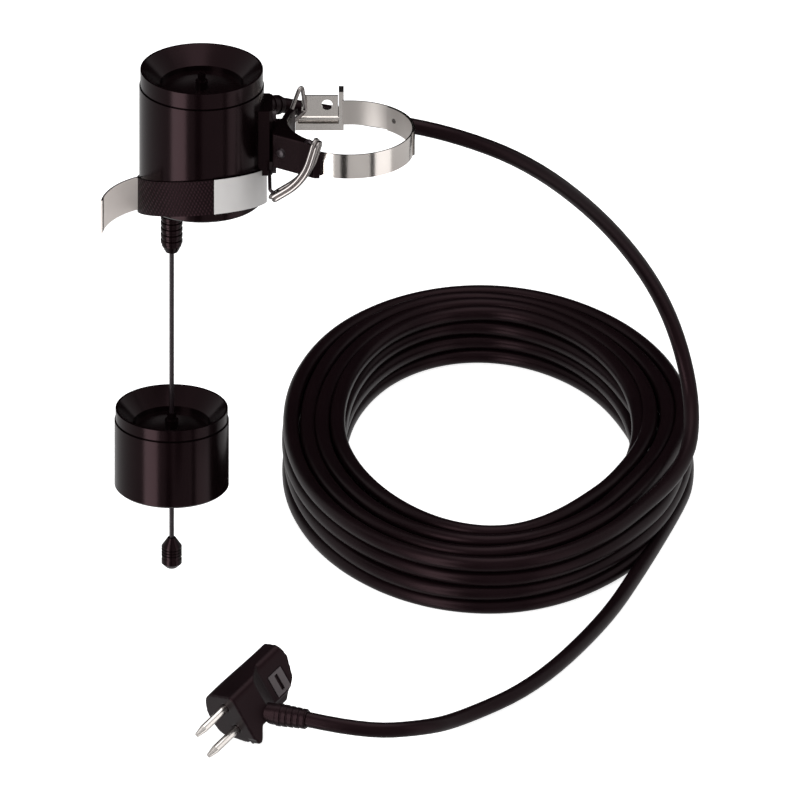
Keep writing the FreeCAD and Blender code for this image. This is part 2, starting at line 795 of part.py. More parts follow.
def make_block_rivet():
    """The domed rivet on the block's front face."""
    rivet = turned("block_rivet", [
        ("0", "0"),
        ("block_rivet_radius", "0"),
        ("block_rivet_radius * 0.7", "block_rivet_head * 0.8"),
        ("0", "block_rivet_head"),
    ])
    run = Vector(size("block_reach") - size("block_front_x"),
                 size("block_front_left") - size("block_front_right"), 0)
    outward = Vector(run.y, -run.x, 0).normalize()
    share = (size("block_reach") - size("block_rivet_x")) / run.x
    middle = Vector(-size("block_reach") + run.x * share, -size("block_front_left") + run.y * share,
                    (size("block_top") - size("block_bottom")) / 2)
    rivet.Placement = Placement(middle, Rotation(Vector(0, 0, 1), outward))
    return rivet


def make_end_plate():
    """The plate that closes the block's nose and carries the peg of the split ring."""
    plate = box("end_plate_blank", "end_plate_thickness", "end_plate_depth",
                "block_top + block_bottom + end_plate_rise", x="-block_nose_x",
                y="-block_nose_y - end_plate_depth + 5", z="-block_bottom")
    pipe = cylinder("end_plate_way", f"{BAND_OUTER} + fit_gap", "block_top + block_bottom + 6",
                    z="-block_bottom - 2")
    return cut("block_end_plate", plate, pipe)


def make_band():
    """The steel band round the front of the pipe."""
    return arc_strip("clamp_band", "pipe_radius", "band_thickness", "band_width", "band_start",
                     "band_end - band_start", z="-band_width / 2")


def make_band_strip():
    """The outer strip that laps over the band's end and reaches the clasp."""
    return arc_strip("band_outer_strip", STRIP_INNER, "band_thickness", "band_width", "strip_start",
                     "strip_end - strip_start", z="-band_width / 2")


def make_band_rivet():
    """The rivet through both laps of the band."""
    rivet = cylinder("band_rivet", "rivet_radius", "band_thickness * 2 + strip_gap + rivet_head")
    angle = math.radians(size("band_rivet_angle"))
    outward = Vector(math.cos(angle), math.sin(angle), 0)
    rivet.Placement = Placement(outward * size("pipe_radius"), Rotation(Vector(0, 0, 1), outward))
    head = cylinder("band_rivet_hole", "rivet_radius", "band_thickness * 2 + strip_gap + rivet_head * 3")
    head.Placement = Placement(outward * (size("pipe_radius") - size("rivet_head")),
                               Rotation(Vector(0, 0, 1), outward))
    return rivet, head


CHEEK_FRONT = f"({STRIP_INNER} + band_thickness)"


def make_clasp_bracket():
    """The folded channel on the strip's end, with a tall cheek and a low one for the pin."""
    length = "(clasp_left - clasp_right)"
    tall = box("cheek_tall", "cheek_thickness", "cheek_depth", "cheek_top + cheek_bottom", x="-clasp_right",
               y=CHEEK_FRONT, z="-cheek_bottom")
    low = box("cheek_low", "left_cheek_thickness", "cheek_depth", "cheek_bottom - left_cheek_top",
              x="-clasp_left - left_cheek_thickness", y=CHEEK_FRONT, z="-cheek_bottom")
    floor = box("channel_floor", length, "cheek_depth", "channel_wall", x="-clasp_left", y=CHEEK_FRONT,
                z="-cheek_bottom")
    lip = box("channel_lip_wall", length, "channel_wall * 0.7", "channel_lip", x="-clasp_left",
              y=CHEEK_FRONT,
              z="-cheek_bottom")
    back = box("channel_back_wall", length, "channel_wall", "channel_back", x="-clasp_left",
               y=f"{CHEEK_FRONT} + cheek_depth - channel_wall", z="-cheek_bottom")
    whole = fused("clasp_folded", tall, low, floor, lip, back)
    bore = cylinder("clasp_bore", "clasp_pin_radius", "clasp_left + 8", x="-clasp_left - 4",
                    y="clasp_pin_y",
                    z="-clasp_pin_drop")
    bore.Placement.Rotation = Rotation(Vector(0, 1, 0), 90)
    return cut("clasp_bracket", whole, bore)


def make_clasp_pin():
    """The pin through both cheeks."""
    pin = cylinder("clasp_pin", "clasp_pin_radius - 0.02",
                   "clasp_left - clasp_right + left_cheek_thickness * 2 + cheek_thickness",
                   x="-clasp_left - left_cheek_thickness * 1.5", y="clasp_pin_y", z="-clasp_pin_drop")
    pin.Placement.Rotation = Rotation(Vector(0, 1, 0), 90)
    return pin


def make_clasp_lever():
    """The quick-release plate, with a rolled knuckle and a drawn hole."""
    length = "(clasp_left - clasp_right - lever_gap * 2)"
    knuckle = cylinder("lever_knuckle", "knuckle_radius", length, x="-clasp_left + lever_gap",
                       y="clasp_pin_y",
                       z="-clasp_pin_drop")
    knuckle.Placement.Rotation = Rotation(Vector(0, 1, 0), 90)
    web = box("lever_web", "lever_plate_left - clasp_right - lever_gap", "lever_plate", "lever_reach",
              x="-lever_plate_left", y="clasp_pin_y - lever_plate / 2", z="-clasp_pin_drop")
    collar = cylinder("lever_collar_ring", "lever_hole_radius + lever_plate", "lever_plate + lever_collar",
                      x="-lever_hole_x", y="clasp_pin_y + lever_plate / 2 + lever_collar",
                      z="lever_hole_up - clasp_pin_drop")
    collar.Placement.Rotation = Rotation(Vector(1, 0, 0), 90)
    whole = fused("lever_whole", knuckle, web, collar)
    hole = cylinder("lever_hole", "lever_hole_radius", "lever_plate + lever_collar + 4", x="-lever_hole_x",
                    y="clasp_pin_y + lever_plate / 2 + lever_collar + 2", z="lever_hole_up - clasp_pin_drop")
    hole.Placement.Rotation = Rotation(Vector(1, 0, 0), 90)
    holed = cut("lever_holed", whole, hole)
    bore = cylinder("lever_bore", "clasp_pin_radius + 0.03", "clasp_left + 8", x="-clasp_left - 4",
                    y="clasp_pin_y",
                    z="-clasp_pin_drop")
    bore.Placement.Rotation = Rotation(Vector(0, 1, 0), 90)
    return cut("clasp_lever", holed, bore)


def bent_path(points, radii):
    """Straight runs joined by tangent arcs, as one wire, and its length."""
    edges = []
    start = points[0]
    for before, corner, after, radius in zip(points, points[1:], points[2:], radii):
        into = (corner - before).normalize()
        out = (after - corner).normalize()
        half_turn = into.getAngle(out) / 2
        reach = radius * math.tan(half_turn)
        first = corner - into * reach
        last = corner + out * reach
        inward = (out - into).normalize()
        middle = corner + inward * (radius / math.cos(half_turn) - radius)
        edges.append(Part.LineSegment(start, first).toShape())
        edges.append(Part.Arc(first, middle, last).toShape())
        start = last
    edges.append(Part.LineSegment(start, points[-1]).toShape())
    wire = Part.Wire(edges)
    return wire, wire.Length


def cord_radii(points):
    """Each arc as large as its two runs allow."""
    radii = []
    for before, corner, after in zip(points, points[1:], points[2:]):
        shorter = min((corner - before).Length, (after - corner).Length)
        half_turn = (corner - before).getAngle(after - corner) / 2
        radii.append(0.45 * shorter / math.tan(half_turn))
    return radii


def tube(path, radius):
    """A round solid along a path."""
    start = path.Vertexes[0].Point
    heading = path.Edges[0].tangentAt(path.Edges[0].FirstParameter)
    section = Part.Wire(Part.Circle(start, heading, radius).toShape())
    return path.makePipeShell([section], True, False)


def closed_loop(corners, corner_radius):
    """A closed wire through rounded corners. It starts halfway along its first side."""
    middle = (corners[0] + corners[1]) * 0.5
    points = [middle] + corners[1:] + [corners[0], middle]
    wire, length = bent_path(points, [corner_radius] * len(corners))
    return wire


def make_triangle_link():
    """The bent wire triangle between the block's back arm and the clasp."""
    inner = size("pipe_radius") + size("arm_thickness") + size("link_wire_radius") + size("slide_gap") * 3
    left = math.radians(size("arm_start") + 4)
    foot = Vector(inner * math.cos(left), inner * math.sin(left), -size("link_foot_drop"))
    right = Vector(-size("clasp_left") + 3.8, size("clasp_pin_y") - 3.0, size("link_foot_drop") - 0.5)
    apex = Vector((foot.x + right.x) / 2 + size("link_apex_right"),
                  (foot.y + right.y) / 2 + size("arm_thickness") / 2,
                  size("link_apex_up"))
    loop = closed_loop([foot, apex, right], size("link_corner"))
    return feature("triangle_link", tube(loop, size("link_wire_radius")))


def ring_frame():
    """Where the split ring hangs: its long way points down and to the left, its short way backwards."""
    long_way = Vector(-0.5325, 0.1928, -0.824).normalize()
    normal = long_way.cross(Vector(0.3268, 0.9451, 0.0097)).normalize()
    short_way = normal.cross(long_way).normalize()
    middle = Vector(-26.15, -33.2, -0.4)
    return Placement(middle, Rotation(long_way, short_way, normal, "ZXY"))


def make_split_ring():
    """The double ring of wire. Both its long sides bow the same way, out to the lower right."""
    half = size("ring_length") / 2
    side = size("ring_width") / 2
    corner = side - 0.05
    loops = []
    for lift in (-0.5, 0.5):
        up = lift * size("ring_pitch")
        bow = up + size("ring_bow")
        points = [(half, 0, up), (half, -side, up), (0, -side, bow), (-half, -side, up), (-half, side, up),
                  (0, side, bow), (half, side, up), (half, 0, up)]
        wire, length = bent_path([Vector(*point) for point in points],
                                 [corner, size("ring_bow_radius"), corner, corner,
                                  size("ring_bow_radius"), corner])
        loops.append(tube(wire, size("ring_wire_radius")))
    ring = feature("split_ring", loops[0].fuse(loops[1]))
    ring.Placement = ring_frame()
    return ring


def ring_end(side):
    """The middle of a peg that fills one end of the split ring, and the ring's normal."""
    frame = ring_frame()
    reach = size("ring_length") / 2 - size("ring_wire_radius") - size("slide_gap") - size("ring_peg_radius")
    return frame.multVec(Vector(side * reach, 0, 0)), frame.Rotation.multVec(Vector(0, 0, 1))


def bent_peg(label, side, out, seat):
    """A bent peg through one end of the ring, rooted in its seat."""
    middle, normal = ring_end(side)
    wire, length = bent_path([middle - normal * out, middle + normal * out * 1.3, seat],
                             [size("ring_peg_radius") * 1.2])
    return feature(label, tube(wire, size("ring_peg_radius")))


def relief_points(length, root, end, flange_radius, flange, bore):
    """The half section of a tapered boot with ribs."""
    ribs = 5
    points = [(bore, "0"), (flange_radius, "0"), (flange_radius, flange)]
    for i in range(ribs):
        share = f"({i} + 0.5) / {ribs}"
        low = f"({flange}) + (({length}) - ({flange})) * {share} - rib_width / 2"
        high = f"({flange}) + (({length}) - ({flange})) * {share} + rib_width / 2"
        radius = f"({root}) + (({end}) - ({root})) * {share}"
        points += [(radius, low), (f"{radius} + rib_height", low), (f"{radius} + rib_height", high),
                   (radius, high)]
    points += [(end, length), (bore, length)]
    return points


def exit_direction():
    """The way the lead leaves the housing."""
    angle = math.radians(size("exit_angle"))
    tilt = math.radians(size("exit_tilt"))
    return Vector(math.cos(angle) * math.cos(tilt), math.sin(angle) * math.cos(tilt), -math.sin(tilt))


def exit_rotation():
    return Rotation(Vector(0, 0, 1), exit_direction())


def exit_seat():
    """Where the boot's flange sits on the housing."""
    angle = math.radians(size("exit_angle"))
    reach = size("housing_radius") + size("relief_sink")
    return Vector(housing_x + reach * math.cos(angle), reach * math.sin(angle), size("exit_height"))


def make_cord_relief():
    """The ribbed boot where the lead leaves the housing."""
    boot = turned("cord_boot", relief_points("relief_length", "relief_root", "relief_end",
                                             "relief_flange_radius",
                                             "relief_flange", "cord_radius"))
    foot = turned("cord_boot_foot", [
        ("cord_radius", "-4"),
        ("relief_flange_radius", "-4"),
        ("relief_flange_radius", "0"),
        ("cord_radius", "0"),
    ])
    boot.Placement = Placement(exit_seat(), exit_rotation())
    foot.Placement = boot.Placement
    whole = fused("cord_boot_whole", boot, foot)
    wall = cylinder("cord_boot_seat", "housing_radius + fit_gap", "60", x=HOUSING_X, z="-30")
    return cut("cord_strain_relief", whole, wall)


def floor_point(x, y, lift=0.0):
    """A point of the lead's centre where it lies on the floor."""
    return Vector(x, y, -size("floor_drop") + size("cord_radius") + lift)


def upper_route():
    """From the boot round the back of the clamp, down in a wide bow and on to the coil's top."""
    start = exit_seat() + exit_direction() * size("relief_length")
    return [
        start,
        Vector(-12.6, 52.1, -9.6),
        Vector(11.9, 55.3, -14.8),
        Vector(47.8, 47.6, -18.4),
        Vector(86.0, 59.0, -39.3),
        Vector(119.3, 94.9, -83.4),
        Vector(144.0, 115.1, -125.2),
        Vector(158.2, 121.9, -161.2),
        Vector(165.4, 106.1, -192.5),
        Vector(161.5, 69.8, -206.5),
        Vector(147.5, 37.5, -209.0),
    ]


def lower_route():
    """From under the coil's front right along the floor to the plug."""
    return [
        floor_point(152, 62, 1.0),
        floor_point(139.7, 11.3),
        floor_point(121.7, -50.8),
        floor_point(88.8, -122.6),
        floor_point(53.4, -159.8),
        floor_point(36.2, -185.0, 7.0),
        floor_point(6.7, -194.7, 9.5),
        plug_seat() + plug_way() * size("plug_relief_length"),
    ]


def plug_turn():
    """The plug's own frame: pins along its -Y, lead out near its +X. It leans on its pins."""
    across, back = Vector(0.618, -0.749, 0.239), Vector(0.652, 0.6575, 0.3785)
    up = Vector(-0.4406, -0.0781, 0.8946)
    return Placement(Vector(-51.0, -181.6, 2.9 - size("floor_drop")), Rotation(across, back, up, "ZXY"))


def plug_seat():
    """Where the boot's middle line meets the plug's side."""
    return plug_point(size("plug_width") / 2, size("plug_cord_inset"), size("plug_cord_height"))


def plug_way():
    """The level way in which the boot points."""
    return Vector(0.9326, -0.361, 0).normalize()


def plug_point(across, back, up):
    return plug_turn().multVec(Vector(across, back, up))


def make_cord_runs():
    """The two free stretches of the lead. Their bend radii and volumes are printed."""
    runs = []
    for label, route in (("cord_run_upper", upper_route()), ("cord_run_lower", lower_route())):
        radii = cord_radii(route)
        path, length = bent_path(route, radii)
        solid = tube(path, size("cord_radius"))
        expected = math.pi * size("cord_radius") ** 2 * length
        print(label, "length", round(length), "radii", [round(radius) for radius in radii],
              "volume share", round(solid.Volume / expected, 4))
        runs.append(feature(label, solid))
    return runs


def make_coil():
    """The outer shape of the oval coil on the floor, as one rounded section swept round an oval."""
    half_bundle = size("coil_bundle") / 2
    long_half = size("coil_half_length") - half_bundle
    short_half = size("coil_half_width") - half_bundle
    oval = Part.Ellipse(Vector(0, long_half, 0), Vector(-short_half, 0, 0), Vector(0, 0, 0))
    path = Part.Wire(oval.toShape())
    height = size("coil_height")
    inset = size("coil_fillet")
    start = path.Vertexes[0].Point
    corners = [start + Vector(0, side * half_bundle, up)
               for side, up in ((-1, 0), (1, 0), (1, height), (-1, height))]
    section = rounded_wire(corners, inset)
    coil = feature("cord_coil", path.makePipeShell([section], True, True))
    return place(coil, "coil_x", "coil_y", "-floor_drop")


def rounded_wire(corners, radius):
    """A closed wire of four sides with rounded corners."""
    edges = []
    ends = []
    for before, corner, after in zip(corners[-1:] + corners[:-1], corners, corners[1:] + corners[:1]):
        into = (corner - before).normalize()
        out = (after - corner).normalize()
        middle = corner + (out - into).normalize() * radius * (math.sqrt(2) - 1)
        first, last = corner - into * radius, corner + out * radius
        edges.append(Part.Arc(first, middle, last).toShape())
        ends.append((first, last))
    for i in range(len(corners)):
        edges.append(Part.LineSegment(ends[i][1], ends[(i + 1) % len(corners)][0]).toShape())
    return Part.Wire(Part.__sortEdges__(edges))


def make_plug():
    """The plug's moulded body: a long block for the pins, with a lobe at one side for the lead."""
    half = "plug_width / 2"
    plan = padded("plug_plan", "XY_Plane", [
        (f"-{half}", "0"),
        (half, "0"),
        (half, "plug_lobe"),
        (f"{half} - plug_step", "plug_lobe + plug_step * 1.3"),
        (f"{half} - plug_step", "plug_length"),
        (f"-{half}", "plug_length"),
    ], "plug_height")
    side = padded("plug_profile", "YZ_Plane", [
        ("0", "1"),
        ("1", "0"),
        ("plug_length * 0.74", "0"),
        ("plug_length * 0.93", "plug_height * 0.33"),
        ("plug_length", "plug_height * 0.72"),
        ("plug_length * 0.97", "plug_height"),
        ("0", "plug_height"),
    ], "plug_width", lift="-plug_width / 2")
    block = doc.addObject("Part::Common", "plug_block")
    block.Base = plan
    block.Tool = side
    doc.recompute()
    radius = size("plug_fillet")
    body = doc.addObject("Part::Fillet", "plug_moulding")
    body.Base = block
    body.Edges = [(i, radius, radius) for i, edge in enumerate(block.Shape.Edges, start=1)
                  if edge.BoundBox.YMax > 8 and edge.Length > 2 and soft_edge(edge)]
    foot = box("plug_foot_block", "plug_foot_width", "plug_lobe - 1", "plug_foot + plug_fillet * 2",
               x=f"{half} - plug_foot_width", y="1", z="-plug_foot")
    doc.recompute()
    soft_foot = doc.addObject("Part::Fillet", "plug_foot_rounded")
    soft_foot.Base = foot
    soft_foot.Edges = [(i, 2.0, 2.0) for i, edge in enumerate(foot.Shape.Edges, start=1)
                       if edge.BoundBox.ZMax < 0]
    body = fused("plug_body_whole", body, soft_foot)
    body.Placement = plug_turn()
    recess = box("socket_recess", "socket_inset + 1", "socket_length", "socket_height")
    recess.Placement = plug_turn() * Placement(socket_corner(), Rotation())
    pin_seats = []
    for name, up in pin_heights():
        seat = cylinder(f"pin_seat_{name}", "pin_radius + 0.02", "pin_seat + 1")
        seat.Placement = plug_turn() * Placement(Vector(0, size("pin_seat"), up),
                                                 Rotation(Vector(1, 0, 0), 90))
        pin_seats.append(seat)
    seats = fused("plug_recesses", recess, *pin_seats)
    return cut("plug_body", body, seats)


def soft_edge(edge):
    """Whether an edge of the plug's block runs along it and is rounded."""
    way = edge.tangentAt(edge.FirstParameter)
    return abs(way.x) < 0.1 and abs(way.y) > 0.5 and (edge.BoundBox.XMax < -5 or edge.BoundBox.ZMin > 20)


def socket_corner():
    """The low corner of the recess for the rear socket's face."""
    return Vector(size("plug_width") / 2 - size("plug_step") - size("socket_inset"), size("socket_back"),
                  size("socket_low"))


def pin_heights():
    middle = size("plug_height") / 2
    return (("upper", middle + size("pin_pitch") / 2), ("lower", middle - size("pin_pitch") / 2))


def make_pins():
    """Two round pins with tapered tips, seated in the plug's face."""
    pins = []
    for name, up in pin_heights():
        pin = turned(f"plug_pin_{name}", [
            ("0", "-pin_seat"),
            ("pin_radius", "-pin_seat"),
            ("pin_radius", "pin_length - pin_taper"),
            ("pin_tip_radius", "pin_length"),
            ("0", "pin_length"),
        ])
        pin.Placement = plug_turn() * Placement(Vector(0, 0, up), Rotation(Vector(1, 0, 0), 90))
        pins.append(pin)
    return pins


def make_socket_face():
    """The rear socket's face in the plug's side, with its slot."""
    face = box("socket_blank", "socket_inset", "socket_length", "socket_height")
    slot = box("socket_slot", "socket_inset + 2", "socket_slot_width", "socket_slot_length", x="-1",
               y="(socket_length - socket_slot_width) / 2", z="(socket_height - socket_slot_length) / 2")
    slotted = cut("plug_socket_face", face, slot)
    slotted.Placement = plug_turn() * Placement(socket_corner(), Rotation())
    return slotted


def make_plug_relief(plug):
    """The ribbed boot between plug and lead, shaped to the plug's side."""
    boot = turned("plug_boot", relief_points(
        "plug_relief_length", "plug_relief_root", "plug_relief_end", "plug_relief_root", "2", "cord_radius"))
    foot = turned("plug_boot_foot", [
        ("cord_radius", "-5"),
        ("plug_relief_root", "-5"),
        ("plug_relief_root", "0"),
        ("cord_radius", "0"),
    ])
    boot.Placement = Placement(plug_seat(), Rotation(Vector(0, 0, 1), plug_way()))
    foot.Placement = boot.Placement
    return cut("plug_strain_relief", fused("plug_boot_whole", boot, foot), plug)


def make_ring_boss():
    """The lower peg of the split ring, rooted in the side plate."""
    return bent_peg("ring_boss", 1, -2.6, Vector(-size("block_reach") - 1.5, -size("plate_front") + 3,
                                                 -10.5))


def make_ring_peg():
    """The upper peg of the split ring, rooted in the block's top."""
    return bent_peg("ring_hook", -1, -2.6, Vector(-size("block_nose_x") - 4, -size("block_nose_y") + 5.5,
                                                 size("block_top") - 0.8))


def make_nodes():
    """Every sub-part, in the order in which they are written."""
    rivet, rivet_hole = make_band_rivet()
    band = make_band()
    strip = make_band_strip()
    plug = make_plug()
    holed_band = cut("clamp_band_holed", band, rivet_hole)
    holed_strip = cut("band_strip_holed", strip, rivet_hole)
    nodes = {
        "housing_body": make_housing(),
        "housing_cap": make_housing_cap(),
        "cap_seal": make_cap_seal(),
        "switch_carrier": make_carrier(),
        "microswitch": make_microswitch(),
        "switch_lever": make_switch_lever(),
        "switch_screws": make_switch_screws(),
        "switch_terminals": make_terminals(),
        "rod_gland": make_gland(),
        "gland_seal": make_gland_seal(),
        "float_rod": make_rod(),
        "rod_collar": make_rod_collar(),
        "rod_end_stop": make_end_stop(),
        "float_shell": make_float_shell(),
        "float_cap": make_float_cap(),
        "float_stop": make_float_stop(),
        "wrap_strap": make_strap(),
        "strap_label": make_label(),
        "side_plate": make_side_plate(),
        "plate_screws": make_plate_screws(),
        "clamp_block": make_block(),
        "block_rivet": make_block_rivet(),
        "block_end_plate": make_end_plate(),
        "clamp_band": holed_band,
        "band_outer_strip": holed_strip,
        "band_rivet": rivet,
        "clasp_bracket": make_clasp_bracket(),
        "clasp_pin": make_clasp_pin(),
        "clasp_lever": make_clasp_lever(),
        "triangle_link": make_triangle_link(),
        "split_ring": make_split_ring(),
        "ring_boss": make_ring_boss(),
        "ring_hook": make_ring_peg(),
        "cord_strain_relief": make_cord_relief(),
        "cord_coil": make_coil(),
        "plug_body": plug,
        "plug_socket_face": make_socket_face(),
        "plug_strain_relief": make_plug_relief(plug),
    }
    for pin in make_pins():
        nodes[pin.Name] = pin
    for run in make_cord_runs():
        nodes[run.Name] = run
    for label, thing in nodes.items():
        thing.Label = label
    return nodes


def write(nodes):
    """Checks every object, then writes each sub-part's STEP file."""
    doc.recompute()
    failed = [thing.Label for thing in doc.Objects if "Invalid" in thing.State or "Error" in thing.State]
    if failed:
        raise RuntimeError(f"objects that failed: {failed}")
    os.makedirs("parts", exist_ok=True)
    for label, thing in nodes.items():
        if thing.Shape.isNull() or not thing.Shape.isValid() or not thing.Shape.Solids:
            raise RuntimeError(f"{label} has no valid solid")
        thing.Shape.exportStep(f"parts/{label}.step")
    print(len(nodes), "sub-parts written")


write(make_nodes())
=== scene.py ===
"""Cable float switch: looks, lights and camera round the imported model. Metres, +Z up."""

import math

import bmesh
import bpy
from mathutils import Matrix, Vector

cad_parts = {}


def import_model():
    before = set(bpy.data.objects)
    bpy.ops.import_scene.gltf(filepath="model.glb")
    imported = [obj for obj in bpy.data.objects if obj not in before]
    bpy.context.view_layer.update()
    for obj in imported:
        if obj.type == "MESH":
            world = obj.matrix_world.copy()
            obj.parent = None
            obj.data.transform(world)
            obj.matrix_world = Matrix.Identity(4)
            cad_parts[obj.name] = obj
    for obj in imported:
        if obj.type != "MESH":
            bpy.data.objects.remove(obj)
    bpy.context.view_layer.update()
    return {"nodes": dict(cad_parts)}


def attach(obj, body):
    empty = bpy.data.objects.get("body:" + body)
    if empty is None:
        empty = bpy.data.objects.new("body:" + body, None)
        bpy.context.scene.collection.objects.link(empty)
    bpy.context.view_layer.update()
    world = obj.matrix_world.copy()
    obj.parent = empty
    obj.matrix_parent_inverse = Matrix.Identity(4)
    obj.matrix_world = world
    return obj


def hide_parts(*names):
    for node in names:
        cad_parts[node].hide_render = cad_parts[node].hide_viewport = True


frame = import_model()

MM = 0.001

# Camera: from the front, 25 degrees above the horizon, without perspective.
LOOK_AT = Vector((0.0242, 0.0, -0.1378))
CAMERA_RISE = math.radians(25)
VIEW_WIDTH = 0.384
CAMERA_DISTANCE = 2.0
CAMERA_REACH = 20

camera_data = bpy.data.cameras.new("camera")
camera_data.type = "ORTHO"
camera_data.ortho_scale = VIEW_WIDTH
camera_data.clip_end = CAMERA_REACH
camera = bpy.data.objects.new("camera", camera_data)
towards_viewer = Vector((0, -math.cos(CAMERA_RISE), math.sin(CAMERA_RISE)))
camera.location = LOOK_AT + towards_viewer * CAMERA_DISTANCE
camera.rotation_euler = (math.radians(90) - CAMERA_RISE, 0, 0)
bpy.context.scene.collection.objects.link(camera)
bpy.context.scene.camera = camera

# The lead, from the boot on the housing to the plug. The coil is an oval of turns in columns and layers.
CORD_DIAMETER = 0.0075
FLOOR = -0.236
COIL_MIDDLE = Vector((0.067, 0.124, 0))
COIL_HALF_WIDTH = 0.099
COIL_HALF_LENGTH = 0.1575
TURN_PITCH = 0.0076
LAYER_PITCH = 0.0075
POINTS_PER_TURN = 36
ENTRY_ANGLE = math.radians(-33.7)
LEAVING_ANGLE = math.radians(-23.8)
# Column (0 is outermost) and layer (0 lies on the floor) of each turn, from the top down.
TURN_SLOTS = [(0, 3), (1, 3), (2, 3), (3, 3), (3, 2), (1, 2), (0, 2),
              (0, 1), (2, 1), (3, 1), (3, 0), (1, 0), (0, 0)]
COLUMNS = 4
# The share of a turn after which it crosses to the next one's place.
CROSSING_START = 0.84
# At its front the coil spreads and reaches forward, and its right front is drawn in. Its back leans left.
FRONT_SPREAD = 0.0045
FRONT_REACH = 0.003
BACK_LEAN = 0.006
RIGHT_DRAW = 0.006
END_SHARPNESS = 1.5
# The turns lie a little unevenly, more so above the floor.
SLOW_WAVE = 0.0005
QUICK_WAVE = 0.0006
WAVE_DIP = 0.0004

# The free runs, in millimetres.
UPPER_RUN = [(-33.62, 41.51, -0.70), (-12.6, 52.1, -9.6), (11.9, 55.3, -14.8), (47.8, 47.6, -18.4),
             (86.0, 59.0, -39.3), (119.3, 94.9, -83.4), (144.0, 115.1, -125.2), (158.2, 121.9, -161.2),
             (165.4, 106.1, -192.5), (161.5, 69.8, -206.5)]
LOWER_RUN = [(139.7, 11.3, -232.25), (121.7, -50.8, -232.25), (88.8, -122.6, -232.25),
             (53.4, -159.8, -232.25), (36.2, -185.0, -225.25), (6.7, -194.7, -222.75),
             (-20.4, -184.9, -220.66)]


def smooth_step(share):
    """A soft rise from 0 to 1 as the share goes from 0 to 1."""
    share = min(max(share, 0.0), 1.0)
    return share * share * (3 - 2 * share)


def coil_points():
    """The turns of the coil. Each keeps its place in the bundle and crosses to the next near its end."""
    turns = len(TURN_SLOTS)
    whole = 2 * math.pi * turns - (LEAVING_ANGLE - ENTRY_ANGLE)
    count = turns * POINTS_PER_TURN
    points = []
    for i in range(1, count):
        travelled = whole * i / count
        turn = travelled / (2 * math.pi)
        now = min(int(turn), turns - 1)
        after = min(now + 1, turns - 1)
        crossing = smooth_step((turn - now - CROSSING_START) / (1 - CROSSING_START))
        column = TURN_SLOTS[now][0] + (TURN_SLOTS[after][0] - TURN_SLOTS[now][0]) * crossing
        layer = TURN_SLOTS[now][1] + (TURN_SLOTS[after][1] - TURN_SLOTS[now][1]) * crossing
        angle = ENTRY_ANGLE - travelled
        front = max(0.0, -math.sin(angle)) ** END_SHARPNESS
        rear = max(0.0, math.sin(angle)) ** END_SHARPNESS
        inset = CORD_DIAMETER / 2 + (TURN_PITCH + FRONT_SPREAD * front) * column
        wave = QUICK_WAVE * math.sin(3 * angle + 1.9 * now) + SLOW_WAVE * math.sin(2 * angle + 0.7)
        dip = max(0.0, WAVE_DIP * math.sin(4 * angle + 2.3 * now)) if layer > 0.5 else 0.0
        right_front = max(0.0, math.cos(angle)) * front * (1 - column / COLUMNS)
        lean = BACK_LEAN * rear + RIGHT_DRAW * right_front
        points.append(COIL_MIDDLE + Vector((
            (COIL_HALF_WIDTH - inset + wave) * math.cos(angle) - lean,
            (COIL_HALF_LENGTH - inset + wave) * math.sin(angle) - FRONT_REACH * front,
            FLOOR + CORD_DIAMETER / 2 + LAYER_PITCH * layer - dip,
        )))
    return points


route = [Vector(p) * MM for p in UPPER_RUN] + coil_points() + [Vector(p) * MM for p in LOWER_RUN]
lead_curve = bpy.data.curves.new("lead", "CURVE")
lead_curve.dimensions = "3D"
lead_curve.bevel_depth = CORD_DIAMETER / 2
lead_curve.bevel_resolution = 5
lead_curve.use_fill_caps = True
lead_curve.resolution_u = 6
line = lead_curve.splines.new("NURBS")
line.points.add(len(route) - 1)
for point, place in zip(line.points, route):
    point.co = (*place, 1)
line.order_u = 3
line.use_endpoint_u = True
lead = bpy.data.objects.new("lead", lead_curve)
bpy.context.scene.collection.objects.link(lead)


# Materials. The blacks mirror with a plum tint.
PLUM = (1, 0.6, 0.67, 1)
# A speckled surface: its clouds' scale against its grain's, where they begin and end, the grain's depth.
CLOUD_SHARE = 0.04
CLOUD_EDGES = (0.3, 0.7)
GRAIN_DEPTH = 0.0002
# The strap: the slants of its two sets of threads, a wave texture's waves per unit of scale, and their depth.
WEAVE_SLANTS = (38, -22)
WAVES_PER_SCALE = 0.314
WEAVE_DEPTH = 0.0003


def new_material(name):
    """A material with its nodes, links and shader at hand."""
    material = bpy.data.materials.new(name)
    material.use_nodes = True
    nodes = material.node_tree.nodes
    return material, nodes, material.node_tree.links, nodes["Principled BSDF"]


def add_node(nodes, kind, **settings):
    """A node with its sockets and settings filled in by name."""
    node = nodes.new(kind)
    for key, value in settings.items():
        if key in node.inputs:
            node.inputs[key].default_value = value
        else:
            setattr(node, key, value)
    return node


